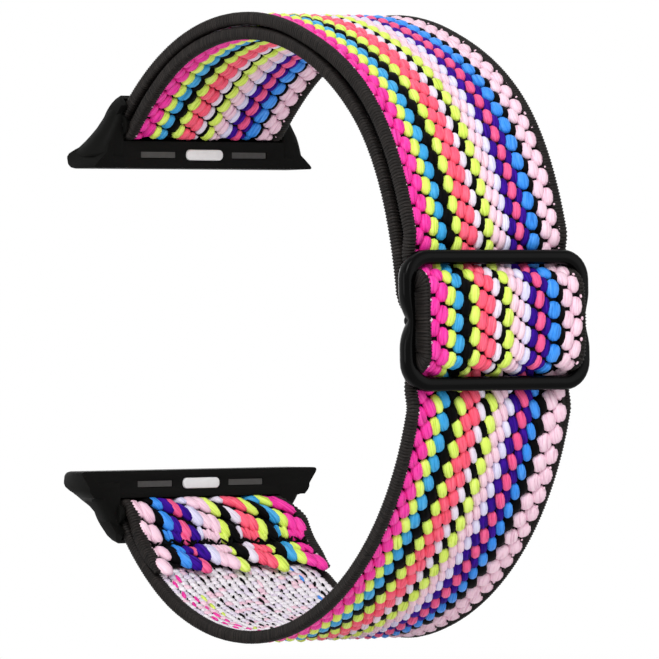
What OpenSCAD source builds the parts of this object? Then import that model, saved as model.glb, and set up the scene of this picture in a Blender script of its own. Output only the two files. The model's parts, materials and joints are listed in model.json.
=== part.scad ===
// Adjustable woven elastic watch strap: one long band of webbing, a three-bar slider that sets its
// length, and two watch-case connectors, each with a sprung latch.
// X runs across the band, Y from the slider (-Y) to the watch (+Y), Z up. Millimetres.
// The band makes a round loop; an angle counts from +Y (the watch) up towards +Z and on round.
// The origin is the middle of the upper connector's tongue, which the watch case holds.

/* [Band] */
// Inner radius of the loop's outer layer
loop_r = 31.95; // [28:0.05:36]
// Width of the band, with its black edges
band_w = 20; // [14:0.5:26]
// Thickness of the webbing
band_t = 1.2; // [0.8:0.05:1.6]
// Width of each ribbed black edge
edge_w = 1; // [0.5:0.1:2]
// Gap between the outer layer and the layer that returns inside it
layer_gap = 0.35; // [0.2:0.05:0.8]
// How much thinner the webbing is pressed where it folds round a connector's bar
fold_press = 0.1; // [0:0.02:0.3]
// How much thinner the webbing is pressed where it is sewn round the slider's middle bar
wrap_press = 0.35; // [0:0.05:0.4]
// How far the inner layer dips towards the wrist where it meets the slider
inner_dip = 1.1; // [0.8:0.05:1.6]
// Length of the tail that is sewn back beside the lower connector
tail_len = 9.9; // [7:0.1:14]
// Distance of the tail's stitches from its fold
tail_stitch_at = 6; // [5:0.1:6.5]
// Number of stitches in each seam
stitch_count = 12; // [6:1:20]
// Thickness of the sewing thread
thread_d = 0.22; // [0.12:0.02:0.3]

/* [Connectors] */
// Angle of the upper connector's bar
upper_bar_angle = 44.5; // [38:0.5:50]
// Angle of the lower connector's bar
lower_bar_angle = -40.3; // [-48:0.1:-36]
// How far the upper bar lies inside the outer layer's inner face
upper_bar_inset = 0.55; // [0.3:0.05:1.2]
// How far the lower bar lies inside the outer layer's inner face
lower_bar_inset = 1; // [0.4:0.05:1.4]
// Diameter of the bar that the band folds round
bar_d = 0.9; // [0.7:0.05:1.4]
// Length of the tongue that slides into the watch case
tongue_len = 28.2; // [24.5:0.1:34]
// Height of the tongue, from its seat in the case to the ledge under the fold
tongue_h = 2.9; // [2.8:0.1:4.5]
// Thickness of the tongue, from the wrist side to the outside
tongue_t = 5.5; // [5:0.1:7]
// How far the tongue's wrist face lies towards the wrist from the bar
face_step = 0.4; // [0:0.1:1]
// Width of each lug beside the fold, and of the hood's end over it
lug_w = 1.15; // [1:0.05:2.3]
// Thickness of the hood's wall
hood_wall = 0.5; // [0.4:0.05:0.9]
// How far the hood reaches along the band past the bar
hood_reach = 2.2; // [1:0.1:3]
// Direction from the bar to the middle of the hood
hood_angle = 42.5; // [38:0.5:48]

/* [Latches] */
// Length of the latch pill
pill_len = 4.6; // [3.4:0.1:5.6]
// Height of the latch pill
pill_h = 1.15; // [0.8:0.05:1.3]
// Corner radius of the pill, as a share of its height
pill_corner = 0.42; // [0.1:0.01:0.45]
// How far the pill stands out of the tongue's face
pill_proud = 0.25; // [0.1:0.05:0.5]
// How far the pill can be pressed in
pill_travel = 0.6; // [0.3:0.05:0.8]
// Thickness of the latch's leaf spring
spring_t = 0.12; // [0.08:0.01:0.2]
// Length of each dark pad beside the pill
pad_len = 4.4; // [3:0.1:5]
// Height of each pad
pad_h = 0.65; // [0.4:0.05:1]
// Distance of each pad's middle from the pill's middle
pad_at = 5.85; // [5.6:0.05:7]
// Corner radius of each pad, as a share of its height
pad_corner = 0.15; // [0.1:0.01:0.45]

/* [Slider] */
// Angle of the slider's middle bar
slider_angle = 179; // [170:0.5:186]
// How far the slider slides each way along the band, in degrees
slider_travel = 20; // [8:1:22]
// Height of the slider, along the band
slider_h = 14.4; // [13:0.1:18]
// Thickness of the slider's frame
slider_t = 1.5; // [1.3:0.05:2]
// Width of the slider's two end bars
end_bar_w = 1.5; // [1:0.1:2]
// Width of the side rails where they bow out
rail_w = 1.35; // [1.2:0.05:2]
// How far the side rails are waisted beside the middle bar
waist = 0.8; // [0:0.1:0.9]
// Outer corner radius of the slider
slider_corner_r = 3; // [1.5:0.1:4]
// Diameter of the slider's middle bar
mid_bar_d = 0.9; // [0.7:0.05:1]
// How far the middle bar lies outside the outer layer's inner face
mid_bar_rise = 0.4; // [0.2:0.05:0.6]
// How far the frame's middle plane lies outside the middle bar
frame_rise = 0.15; // [0.1:0.05:0.15]

/* [Clearances] */
// Room round a bar inside a fold of the band
fold_fit = 0.06; // [0.03:0.01:0.12]
// Room round a connector's bar in its lugs
bore_fit = 0.02; // [0.01:0.01:0.05]
// Room between a fold and the connector's pocket
pocket_fit = 0.14; // [0.1:0.01:0.3]
// Room round the latch pill, and round each pad
pill_fit = 0.06; // [0.03:0.01:0.12]
// Room between the band and the slider's frame
slider_fit = 0.1; // [0.06:0.01:0.3]
// Room between the band's edges and what runs beside them
side_fit = 0.1; // [0.1:0.05:0.5]
// Room between two layers that are sewn or pressed together
layer_fit = 0.05; // [0.02:0.01:0.1]
// Room between the inner layer and the end that wraps the slider's middle bar
join_fit = 0.12; // [0.08:0.01:0.3]
// Room between the band's edges and a connector's lugs
lug_fit = 0.15; // [0.1:0.05:0.4]
// Room between a seam's thread and the webbing that it lies on
stitch_fit = 0.03; // [0.02:0.01:0.06]

/* [Hidden] */
$fn = 48;

charcoal = [0.09, 0.09, 0.085];
black_gloss = [0.05, 0.05, 0.05];
steel = [0.72, 0.73, 0.75];
pale_grey = [0.85, 0.85, 0.85];
dark_grey = [0.27, 0.27, 0.26];
edge_black = [0.15, 0.14, 0.14];
band_pink = [0.9, 0.25, 0.6];
band_pale = [0.93, 0.8, 0.87];
band_violet = [0.45, 0.3, 0.75];
band_lime = [0.8, 0.9, 0.35];
thread_black = [0.1, 0.09, 0.1];

// Steps round the loop, round a fold and beside the slider, in degrees.
loop_step = 3;
fold_step = 15;
slider_step = 1;

// The layers' middle lines, as radii from the loop's centre.
outer_mid = loop_r + band_t / 2;
outer_face = loop_r + band_t;
inner_mid = loop_r - layer_gap - band_t / 2;
half_band = band_t / 2;
web_w = band_w - 2 * edge_w;

// The fold round a connector's bar.
fold_t = band_t - fold_press;
fold_mid = bar_d / 2 + fold_fit + fold_t / 2;
fold_outer = fold_mid + fold_t / 2;
upper_bar_r = loop_r - upper_bar_inset;
lower_bar_r = loop_r - lower_bar_inset;
// Length over which a layer settles from its fold to the loop.
settle_len = 15;
// Length over which the two layers at a fold close up.
close_len = 5.5;
// Length of the short piece of each layer that belongs to a fold.
stub_len = 4.5;

// The slider. Its own frame puts the middle bar at [-mid_bar_r, 0].
mid_bar_r = loop_r + mid_bar_rise;
wrap_t = band_t - wrap_press;
wrap_mid = mid_bar_d / 2 + layer_fit + wrap_t / 2;
wrap_outer = wrap_mid + wrap_t / 2;
// The sewn end lies between the two layers, and the inner layer dips under it.
dip_mid = inner_mid - inner_dip;
tab_mid = dip_mid + half_band + layer_fit + wrap_t / 2;
bulge_h = mid_bar_r + wrap_outer + layer_fit - loop_r;
half_h = slider_h / 2;
window_half_h = half_h - end_bar_w;
window_half_w = band_w / 2 + side_fit + slider_fit;
slider_half_w = window_half_w + rail_w;
frame_in_y = -(mid_bar_r + frame_rise - slider_t / 2);
bar_reach = slider_half_w - waist;
// The end bars press the outer layer in by this much.
press_h = outer_face + slider_fit - norm([frame_in_y, window_half_h]);
window_corner_r = 0.6;
lobe_from = 0.5;
waist_half_h = half_h - 2;
// Where the outer layer leaves the top of its rise and is pressed in, back from the window's end,
// and where it starts to come back out and lies free, from the slider's end.
rise_back = 3.4;
press_back = 0.1;
release_back = 0.6;
release_len = 2;
// Angles along the band that go with the slider.
top_half = deg(window_half_h - rise_back);
press_from = deg(window_half_h - press_back);
press_to = deg(half_h - release_back);
press_end = deg(half_h + release_len);
wrap_start = deg(2.8);
tab_bend = deg(3.1);
tab_end = deg(4);
run_half = press_end + slider_travel;

// The latch pocket in a tongue, from the wrist face inwards.
ledge_z = -(fold_outer + pocket_fit);
seat_z = ledge_z - tongue_h;
tongue_mid_z = (ledge_z + seat_z) / 2;
mouth_depth = 1.2;
foot_t = 0.5;
foot_len = pill_len + 0.8;
foot_h = pill_h + 0.4;
foot_y = mouth_depth + 0.04;
spring_room = 2 * pill_travel + 0.2;
cavity_depth = foot_y + foot_t + spring_room;
pad_recess = 0.5;
pad_t = 0.4;

// The connector's shape.
hood_in = fold_outer + pocket_fit + 0.06;
hood_out = hood_in + hood_wall;
lug_wall = 0.65;
lug_r = bar_d / 2 + lug_wall;
lug_in = band_w / 2 + lug_fit;
lug_out = lug_in + lug_w;
hood_w = 2 * lug_out;
lug_recess = 0.8;
bar_end = lug_out - lug_recess;
tip_r = 1.1;
seat_corner_r = 0.5;
flare_from = 1.75;
flare_to = 0;
hood_corner = 1.6;
hood_spare = 0.1;
lip_up = 1.35;
lip_in = 1.8;
neck_down = 0.2;
neck_pull = 1.3;
hood_pull = 1.3;
end_wall_in = 0.65;
end_wall_down = 2.2;

// The bars and the origin, in the loop's plane.
upper_bar_at = polar(upper_bar_r, upper_bar_angle);
lower_bar_at = polar(lower_bar_r, lower_bar_angle);
origin_at = upper_bar_at + [tongue_t / 2 - face_step, tongue_mid_z];

function polar(r, a) = [r * cos(a), r * sin(a)];
function deg(length) = length / loop_r * 180 / PI;
function smooth(u) = u <= 0 ? 0 : u >= 1 ? 1 : u * u * (3 - 2 * u);
function mix(a, b, u) = a + (b - a) * u;

// A run of angles from a to b in even steps, both ends included.
function steps(a, b, step) =
    let (n = max(1, ceil(abs(b - a) / step)))
    [for (i = [0 : n]) a + (b - a) * i / n];

// The radius of each layer's middle line, and a fold's half thickness, at an angle.
function settle(a, bar_a) = smooth(abs(a - bar_a) / deg(settle_len));
function close_up(a, bar_a) = smooth(abs(a - bar_a) / deg(close_len));
function half_t(a, bar_a) = mix(fold_t / 2, half_band, close_up(a, bar_a));
// The outer layer rises over the slider's middle bar and is pressed in under its two end bars.
function bulge(a) =
    mix(mix(bulge_h, -press_h, smooth((abs(a) - top_half) / (press_from - top_half))), 0,
        smooth((abs(a) - press_to) / (press_end - press_to)));
function outer_r(a) =
    a > 120 && a < 240 ? outer_mid + bulge(a - slider_angle)
    : a <= 120 ? mix(upper_bar_r + fold_mid, outer_mid, settle(a, upper_bar_angle))
    : mix(lower_bar_r + fold_mid, outer_mid, settle(a - 360, lower_bar_angle));
function inner_r(a) =
    a <= 120 ? mix(upper_bar_r - fold_mid, inner_mid, settle(a, upper_bar_angle))
    : mix(inner_mid, dip_mid, smooth((a - slider_angle + 45) / 36));
function tail_r(a) =
    outer_r(a) - mix(2 * fold_mid, band_t + layer_fit, close_up(a - 360, lower_bar_angle));

// A strip's middle line is a list of [y, z, half thickness]. Its outline goes down one side and back.
function tangent(line, i) =
    let (a = line[max(i - 1, 0)], b = line[min(i + 1, len(line) - 1)], d = [b[0] - a[0], b[1] - a[1]])
    d / norm(d);
function side(line, i, s) =
    let (t = tangent(line, i))
    [line[i][0] - s * t[1] * line[i][2], line[i][1] + s * t[0] * line[i][2]];
function strip(line) = concat(
    [for (i = [0 : len(line) - 1]) side(line, i, 1)],
    [for (i = [len(line) - 1 : -1 : 0]) side(line, i, -1)]);
function at(p, h) = [p[0], p[1], h];

// The middle lines of the band's pieces.
function outer_line(a, b) = [for (t = steps(a, b, loop_step)) at(polar(outer_r(t), t), half_band)];
function slider_line(a, b) = [for (t = steps(a, b, slider_step)) at(polar(outer_r(t), t), half_band)];
function inner_line(a, b) = [for (t = steps(a, b, loop_step)) at(polar(inner_r(t), t), half_band)];
function round_bar(centre, mid, half, a, b) =
    [for (t = steps(a, b, fold_step)) at(centre + polar(mid, t), half)];
upper_fold_line = concat(
    [for (t = steps(upper_bar_angle + deg(stub_len), upper_bar_angle + 1, 1.5))
        at(polar(outer_r(t), t), half_t(t, upper_bar_angle))],
    round_bar(upper_bar_at, fold_mid, fold_t / 2, upper_bar_angle, upper_bar_angle - 180),
    [for (t = steps(upper_bar_angle + 1, upper_bar_angle + deg(stub_len), 1.5))
        at(polar(inner_r(t), t), half_t(t, upper_bar_angle))]);
lower_turn = lower_bar_angle + 360;
lower_fold_line = concat(
    [for (t = steps(lower_turn - deg(stub_len), lower_turn - 1, 1.5))
        at(polar(outer_r(t), t), half_t(t, lower_turn))],
    round_bar(lower_bar_at, fold_mid, fold_t / 2, lower_bar_angle, lower_bar_angle + 180),
    [for (t = steps(lower_turn - 1, lower_turn - deg(tail_len), 1.5))
        at(polar(tail_r(t), t), half_t(t, lower_turn))]);
// In the slider's own frame: up from the wrist side, round the middle bar, and back as the sewn tab.
wrap_line = concat(
    [for (t = steps(wrap_start, 0.6, 0.8))
        at(polar(mix(mid_bar_r - wrap_mid, dip_mid, smooth(t / wrap_start)), 180 - t), wrap_t / 2)],
    round_bar([-mid_bar_r, 0], wrap_mid, wrap_t / 2, 0, -180),
    [for (t = steps(0.6, tab_end, 0.8))
        at(polar(mix(mid_bar_r + wrap_mid, tab_mid, smooth(t / tab_bend)), 180 - t), wrap_t / 2)]);

// Places a child in the part's frame, and in a connector's or the slider's own frame.
module placed() translate([0, -origin_at[0], -origin_at[1]]) children();
module at_upper() placed() translate([0, upper_bar_at[0], upper_bar_at[1]]) children();
module at_lower() placed() translate([0, lower_bar_at[0], lower_bar_at[1]]) mirror([0, 0, 1]) children();
module at_slider() placed() rotate([slider_angle - 180, 0, 0]) children();

// Extrudes an outline drawn in Y and Z along X, from x0 to x1.
module across(x0, x1) rotate([90, 0, 90]) translate([0, 0, x0]) linear_extrude(x1 - x0) children();
module strip_web(line) across(-web_w / 2, web_w / 2) polygon(strip(line));
module strip_edges(line) {
    across(-band_w / 2, -web_w / 2) polygon(strip(line));
    across(web_w / 2, band_w / 2) polygon(strip(line));
}

// A rod along X.
module rod(r, x0, x1) translate([x0, 0, 0]) rotate([0, 90, 0]) cylinder(r = r, h = x1 - x0);

// A rectangle with round corners, centred on the origin.
module round_rect(half_x, half_z, r) {
    square([2 * half_x, 2 * (half_z - r)], center = true);
    square([2 * (half_x - r), 2 * half_z], center = true);
    for (sx = [-1, 1], sz = [-1, 1])
        translate([sx * (half_x - r), sz * (half_z - r)]) circle(r = r);
}

// A block with round corners, long in X, with its middle on the Y axis, from y0 to y1. The share is
// its corner radius over its height.
module round_block(length, height, share, y0, y1) translate([0, y1, 0]) rotate([90, 0, 0])
    linear_extrude(y1 - y0) round_rect(length / 2, height / 2, share * height);

// The connector in its own frame: the bar on the X axis, the watch at +Y and -Z, the hood at +Z.
hood_along = [-sin(hood_angle), cos(hood_angle)];
hood_top = polar(hood_out, hood_angle);
lip = [tongue_t - face_step, seat_z + lip_up];
neck = [lip[0] - lip_in, ledge_z - neck_down];
function bezier(a, b, c, d, u) =
    pow(1 - u, 3) * a + 3 * u * pow(1 - u, 2) * b + 3 * u * u * (1 - u) * c + pow(u, 3) * d;
connector_outline = concat(
    [[-face_step, seat_z]],
    [for (a = steps(-90, 0, 30)) [tongue_t - face_step - tip_r, seat_z + tip_r] + polar(tip_r, a)],
    [for (u = [0 : 0.25 : 0.75]) lip + [(neck[0] - lip[0]) * smooth(u), (neck[1] - lip[1]) * u]],
    [for (u = [0 : 0.125 : 1])
        bezier(neck, neck + [0, neck_pull], hood_top - hood_pull * hood_along, hood_top, u)],
    [hood_top + hood_reach * hood_along],
    [polar(hood_in, hood_angle) + hood_reach * hood_along],
    [for (a = steps(hood_angle, 0, 12)) polar(hood_in, a)],
    [for (a = steps(-12, -90, 12)) polar(-ledge_z, a)],
    [[-face_step, ledge_z]]);

// Seen from the wrist: the tongue flares from the hood's width to its own length.
flare_h = flare_to - seat_z - flare_from;
flare_w = (tongue_len - hood_w) / 2;
hood_z = hood_top[1] + hood_reach * hood_along[1] + hood_spare;
front_half = concat(
    [for (a = [-90 : 22.5 : 0])
        [tongue_len / 2 - seat_corner_r, seat_z + seat_corner_r] + polar(seat_corner_r, a)],
    [for (u = [0 : 0.125 : 1])
        [tongue_len / 2 - flare_w * smooth(u), seat_z + flare_from + flare_h * u]],
    [for (a = [0 : 22.5 : 90])
        [hood_w / 2 - hood_corner, hood_z - hood_corner] + polar(hood_corner, a)]);
front_outline = concat(front_half,
    [for (i = [len(front_half) - 1 : -1 : 0]) [-front_half[i][0], front_half[i][1]]]);

module connector_front() translate([0, tongue_t + 1, 0]) rotate([90, 0, 0])
    linear_extrude(2 * tongue_t + 4) polygon(front_outline);

module connector() {
    difference() {
        intersection() {
            union() {
                across(-tongue_len / 2, tongue_len / 2) polygon(connector_outline);
                for (s = [-1, 1]) lug(s);
            }
            connector_front();
        }
        rod(bar_d / 2 + bore_fit, -bar_end - bore_fit, bar_end + bore_fit);
        translate([0, -face_step, tongue_mid_z]) {
            round_block(pill_len + 2 * pill_fit, pill_h + 2 * pill_fit, pill_corner, -1, mouth_depth + 0.01);
            round_block(foot_len + 2 * pill_fit, foot_h + 2 * pill_fit, pill_corner, mouth_depth, cavity_depth);
            for (s = [-1, 1]) translate([s * pad_at, 0, 0])
                round_block(pad_len + 2 * pill_fit, pad_h + 2 * pill_fit, pad_corner, -1, pad_recess);
        }
    }
}

// A round-ended lug at each end of the fold carries the bar, on a wall that closes the hood's end.
end_wall = concat(
    [polar(end_wall_in, hood_angle) - end_wall_down * hood_along],
    [for (a = steps(-25, hood_angle, 15)) polar(hood_in + hood_wall / 2, a)],
    [polar(hood_in + hood_wall / 2, hood_angle) + hood_reach * hood_along],
    [polar(end_wall_in, hood_angle) + hood_reach * hood_along]);
module lug(s) {
    across(min(s * lug_in, s * lug_out), max(s * lug_in, s * lug_out)) polygon(end_wall);
    across(min(s * lug_in, s * bar_end), max(s * lug_in, s * bar_end)) circle(r = lug_r);
}

module connector_bar() rod(bar_d / 2, -bar_end, bar_end);

module connector_pads() {
    for (s = [-1, 1]) translate([s * pad_at, -face_step, tongue_mid_z])
        round_block(pad_len, pad_h, pad_corner, pad_recess - pad_t, pad_recess);
}

// The pill has a foot behind the tongue's face, so the spring can't push it out.
module latch_pill() translate([0, -face_step, tongue_mid_z]) {
    round_block(pill_len, pill_h, pill_corner, -pill_proud, foot_y + foot_t / 2);
    round_block(foot_len, foot_h, pill_corner, foot_y, foot_y + foot_t);
}

// A bowed strip of spring steel behind the foot.
spring_half = pill_len / 2 - 0.2;
spring_rise = spring_room - spring_t - 0.04;
module latch_spring() translate([0, -face_step + foot_y + foot_t + 0.02, tongue_mid_z]) {
    line = [for (i = [-6 : 6]) [i / 6 * spring_half, spring_rise * pow(i / 6, 2)]];
    translate([0, 0, -pill_h / 2]) linear_extrude(pill_h)
        polygon(concat(line, [for (i = [12 : -1 : 0]) line[i] + [0, spring_t]]));
}

module upper_connector() color(charcoal) at_upper() connector();
module upper_bar() color(steel) at_upper() connector_bar();
module upper_pads() color(dark_grey) at_upper() connector_pads();
module upper_latch_spring() color(steel) at_upper() latch_spring();
module upper_latch_pill() color(pale_grey) at_upper() latch_pill();
module lower_connector() color(charcoal) at_lower() connector();
module lower_bar() color(steel) at_lower() connector_bar();
module lower_pads() color(dark_grey) at_lower() connector_pads();
module lower_latch_spring() color(steel) at_lower() latch_spring();
module lower_latch_pill() color(pale_grey) at_lower() latch_pill();

// The slider's frame, drawn as seen from the front in X and Z: two bowed halves and a waist.
module slider_half() {
    r = slider_corner_r;
    w = slider_half_w;
    translate([-w, lobe_from + r]) square([2 * w, half_h - lobe_from - 2 * r]);
    translate([-w + r, lobe_from]) square([2 * (w - r), half_h - lobe_from]);
    for (s = [-1, 1]) {
        translate([s * (w - r), half_h - r]) circle(r = r);
        translate([s * (w - r), lobe_from + r]) circle(r = r);
    }
}

module slider_outline() {
    slider_half();
    mirror([0, 1]) slider_half();
    square([2 * bar_reach, 2 * waist_half_h], center = true);
}

// The ends of the middle bar are pressed into holes through the rails' waists.
module slider_frame() color(black_gloss) at_slider() difference() {
    translate([0, frame_in_y, 0]) rotate([90, 0, 0]) linear_extrude(slider_t) difference() {
        slider_outline();
        round_rect(window_half_w, window_half_h, window_corner_r);
    }
    translate([0, -mid_bar_r, 0]) rod(mid_bar_d / 2, -bar_reach - 1, bar_reach + 1);
}

module slider_bar() color(black_gloss) at_slider() translate([0, -mid_bar_r, 0])
    rod(mid_bar_d / 2, -bar_reach, bar_reach);
module slider_wrap() color(band_lime) at_slider() strip_web(wrap_line);
module slider_wrap_edges() color(edge_black) at_slider() strip_edges(wrap_line);

// A row of slanted stitches across the band, on a face at radius r and at angle a.
module stitch_row(r, a) {
    pitch = (web_w - edge_w) / stitch_count;
    for (i = [0 : stitch_count - 1])
        rotate([a, 0, 0]) translate([(i - (stitch_count - 1) / 2) * pitch, r - thread_d / 2, 0])
            rotate([0, i % 2 == 0 ? 35 : -35, 0])
                cube([thread_d, thread_d, 0.8 * pitch], center = true);
}

module wrap_stitches() color(thread_black) at_slider()
    stitch_row(dip_mid - half_band - stitch_fit, 180 - (wrap_start + tab_end) / 2);
module tail_stitches() color(thread_black) placed() {
    a = lower_turn - deg(tail_stitch_at);
    stitch_row(tail_r(a) - half_band - stitch_fit, a);
}

// The band's runs.
slider_run_from = slider_angle - run_half;
slider_run_to = slider_angle + run_half;
outer_upper_line = outer_line(upper_bar_angle + deg(stub_len), slider_run_from);
outer_lower_line = outer_line(slider_run_to, lower_turn - deg(stub_len));
slider_run_line = slider_line(slider_run_from, slider_run_to);
inner_run_line = inner_line(upper_bar_angle + deg(stub_len), slider_angle - wrap_start - deg(join_fit));

module outer_upper_run() color(band_pink) placed() strip_web(outer_upper_line);
module outer_upper_edges() color(edge_black) placed() strip_edges(outer_upper_line);
module outer_lower_run() color(band_pink) placed() strip_web(outer_lower_line);
module outer_lower_edges() color(edge_black) placed() strip_edges(outer_lower_line);
module slider_run() color(band_violet) placed() strip_web(slider_run_line);
module slider_run_edges() color(edge_black) placed() strip_edges(slider_run_line);
module inner_run() color(band_pale) placed() strip_web(inner_run_line);
module inner_run_edges() color(edge_black) placed() strip_edges(inner_run_line);
module upper_fold() color(band_pale) placed() strip_web(upper_fold_line);
module upper_fold_edges() color(edge_black) placed() strip_edges(upper_fold_line);
module lower_fold() color(band_pale) placed() strip_web(lower_fold_line);
module lower_fold_edges() color(edge_black) placed() strip_edges(lower_fold_line);

upper_connector();
upper_bar();
upper_pads();
upper_latch_spring();
upper_latch_pill();
lower_connector();
lower_bar();
lower_pads();
lower_latch_spring();
lower_latch_pill();
slider_frame();
slider_bar();
slider_wrap();
slider_wrap_edges();
wrap_stitches();
outer_upper_run();
outer_upper_edges();
outer_lower_run();
outer_lower_edges();
slider_run();
slider_run_edges();
inner_run();
inner_run_edges();
upper_fold();
upper_fold_edges();
lower_fold();
lower_fold_edges();
tail_stitches();
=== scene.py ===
# Woven elastic watch strap: plump cords in coloured columns, ribbed black edges, a glossy three-bar
# slider and two sprung-latch connectors. The strip of webbing is modelled flat, as
# (across, along, height) in millimetres, and then laid along the band's own line.
import json
import math
import random
from collections import namedtuple

import bmesh
import bpy
from mathutils import Matrix, Vector


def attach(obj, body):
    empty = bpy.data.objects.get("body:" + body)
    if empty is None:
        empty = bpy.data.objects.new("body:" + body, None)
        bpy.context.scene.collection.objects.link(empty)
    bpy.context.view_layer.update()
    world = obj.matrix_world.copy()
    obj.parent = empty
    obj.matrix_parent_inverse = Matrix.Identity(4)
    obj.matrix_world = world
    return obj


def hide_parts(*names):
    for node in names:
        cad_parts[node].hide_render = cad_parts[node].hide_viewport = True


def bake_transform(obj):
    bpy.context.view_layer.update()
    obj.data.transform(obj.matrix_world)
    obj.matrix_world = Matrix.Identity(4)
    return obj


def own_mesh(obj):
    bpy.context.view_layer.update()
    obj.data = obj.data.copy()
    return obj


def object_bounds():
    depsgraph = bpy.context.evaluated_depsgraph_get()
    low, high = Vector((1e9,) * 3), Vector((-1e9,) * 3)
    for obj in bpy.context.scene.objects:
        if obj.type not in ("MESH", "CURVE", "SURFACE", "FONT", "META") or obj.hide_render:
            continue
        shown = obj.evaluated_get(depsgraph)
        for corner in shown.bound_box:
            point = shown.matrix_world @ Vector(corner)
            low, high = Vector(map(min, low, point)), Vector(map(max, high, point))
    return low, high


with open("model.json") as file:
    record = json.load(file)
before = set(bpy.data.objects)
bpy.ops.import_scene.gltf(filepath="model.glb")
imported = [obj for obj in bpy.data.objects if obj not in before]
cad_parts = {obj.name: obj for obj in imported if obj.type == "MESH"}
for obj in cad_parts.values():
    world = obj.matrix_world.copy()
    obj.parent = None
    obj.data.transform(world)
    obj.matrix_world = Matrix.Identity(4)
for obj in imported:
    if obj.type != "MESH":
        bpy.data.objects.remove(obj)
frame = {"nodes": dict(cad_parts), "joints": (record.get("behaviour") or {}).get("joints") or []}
cad_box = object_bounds()

MM = 0.001
JOINTS = {joint["name"]: joint for joint in frame["joints"]}
CENTRE = Vector(JOINTS["slider_adjust"]["pos_m"])
UPPER_BAR = (Vector(JOINTS["upper_swing"]["pos_m"]) - CENTRE) / MM
LOWER_BAR = (Vector(JOINTS["lower_swing"]["pos_m"]) - CENTRE) / MM
dice = random.Random(7)

# The band. Lengths are in millimetres. Angles are in degrees round the loop's centre, from +Y over +Z.
LOOP_R = 31.95
BAND_W = 20.0
BAND_T = 1.2
EDGE_W = 1.0
HALF_T = BAND_T / 2
HALF_WEB = BAND_W / 2 - EDGE_W
LAYER_GAP = 0.35
LAYER_FIT = 0.05
OUTER_MID = LOOP_R + HALF_T
INNER_MID = LOOP_R - LAYER_GAP - HALF_T

# The folds round the connectors' bars. Away from a bar its layers close up on each other over CLOSE and
# lie on the loop after SETTLE. A stub is the stretch beside the bar that belongs to the fold.
BAR_D = 0.9
FOLD_FIT = 0.06
FOLD_T = 1.1
FOLD_MID = BAR_D / 2 + FOLD_FIT + FOLD_T / 2
UPPER_BAR_R = UPPER_BAR.length
LOWER_BAR_R = LOWER_BAR.length
UPPER_ANGLE = math.degrees(math.atan2(UPPER_BAR.z, UPPER_BAR.y))
LOWER_ANGLE = math.degrees(math.atan2(LOWER_BAR.z, LOWER_BAR.y)) + 360
SETTLE = 15.0
CLOSE = 5.5
STUB = 4.5
TAIL = 9.9
TAIL_SEAM = 5.1

# The slider. The outer layer bulges over its middle bar and is pressed in under its end bars, and the
# inner layer dips and wraps round the middle bar.
SLIDER_ANGLE = 179.0
SLIDER_H = 14.4
SLIDER_T = 1.5
END_BAR = 1.5
WINDOW_HALF_H = SLIDER_H / 2 - END_BAR
WINDOW_HALF_W = 10.15
RAIL_W = 1.4
FRAME_MID = 32.6
MID_BAR_R = 32.35
MID_BAR_D = 0.9
WRAP_T = 0.85
WRAP_MID = MID_BAR_D / 2 + LAYER_FIT + WRAP_T / 2
WRAP_START = 2.8
WRAP_BEND = 3.1
WRAP_END = 4.0
DIP = 1.1
DIP_FROM = 45
DIP_OVER = 36
DIP_MID = INNER_MID - DIP
TAB_MID = DIP_MID + HALF_T + LAYER_FIT + WRAP_T / 2
BULGE_H = MID_BAR_R + WRAP_MID + WRAP_T / 2 + LAYER_FIT - LOOP_R
PRESS_FIT = 0.1
PRESS_H = LOOP_R + BAND_T + PRESS_FIT - math.hypot(FRAME_MID - SLIDER_T / 2, WINDOW_HALF_H)

# Lengths along the band from the slider's middle: it stays risen up to TOP_HALF, is pressed in from
# PRESS_FROM to PRESS_TO, and is back on the loop at PRESS_END.
TOP_HALF = 3.3
PRESS_FROM = 5.9
PRESS_TO = 6.6
PRESS_END = 9.2


def deg(length):
    """The loop's angle for a length along the band."""
    return math.degrees(length / LOOP_R)


def clamp(u):
    return min(1.0, max(0.0, u))


def smooth(u):
    """An eased step from 0 to 1."""
    u = clamp(u)
    return u * u * (3 - 2 * u)


def mix(a, b, u):
    return a + (b - a) * u


def polar(r, angle):
    """A point in the loop's plane, as (y, z) in millimetres from the loop's centre."""
    a = math.radians(angle)
    return Vector((r * math.cos(a), r * math.sin(a)))


# The camera stands where the photograph was taken from. Lengths are in millimetres, angles in degrees.
AZIMUTH = -33.76
DISTANCE = 716.4
LENS = 369.2
SENSOR_W = 36
ROLL = -0.457
AIM_RIGHT = 1.2455
AIM_DOWN = 0.25


def add_object(name, data):
    """Makes an object and puts it into the scene."""
    made = bpy.data.objects.new(name, data)
    bpy.context.scene.collection.objects.link(made)
    return made


def make_camera():
    a = math.radians(AZIMUTH)
    forward = Vector((-math.sin(a), math.cos(a), 0))
    right = Vector((math.cos(a), math.sin(a), 0))
    aim = CENTRE + (right * AIM_RIGHT - Vector((0, 0, AIM_DOWN))) * MM
    data = bpy.data.cameras.new("camera")
    data.lens = LENS
    data.sensor_width = SENSOR_W
    camera = add_object("camera", data)
    turn = forward.to_track_quat("-Z", "Y").to_matrix().to_4x4()
    roll = Matrix.Rotation(math.radians(ROLL), 4, "Z")
    camera.matrix_world = Matrix.Translation(aim - forward * DISTANCE * MM) @ turn @ roll
    bpy.context.scene.camera = camera


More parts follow.
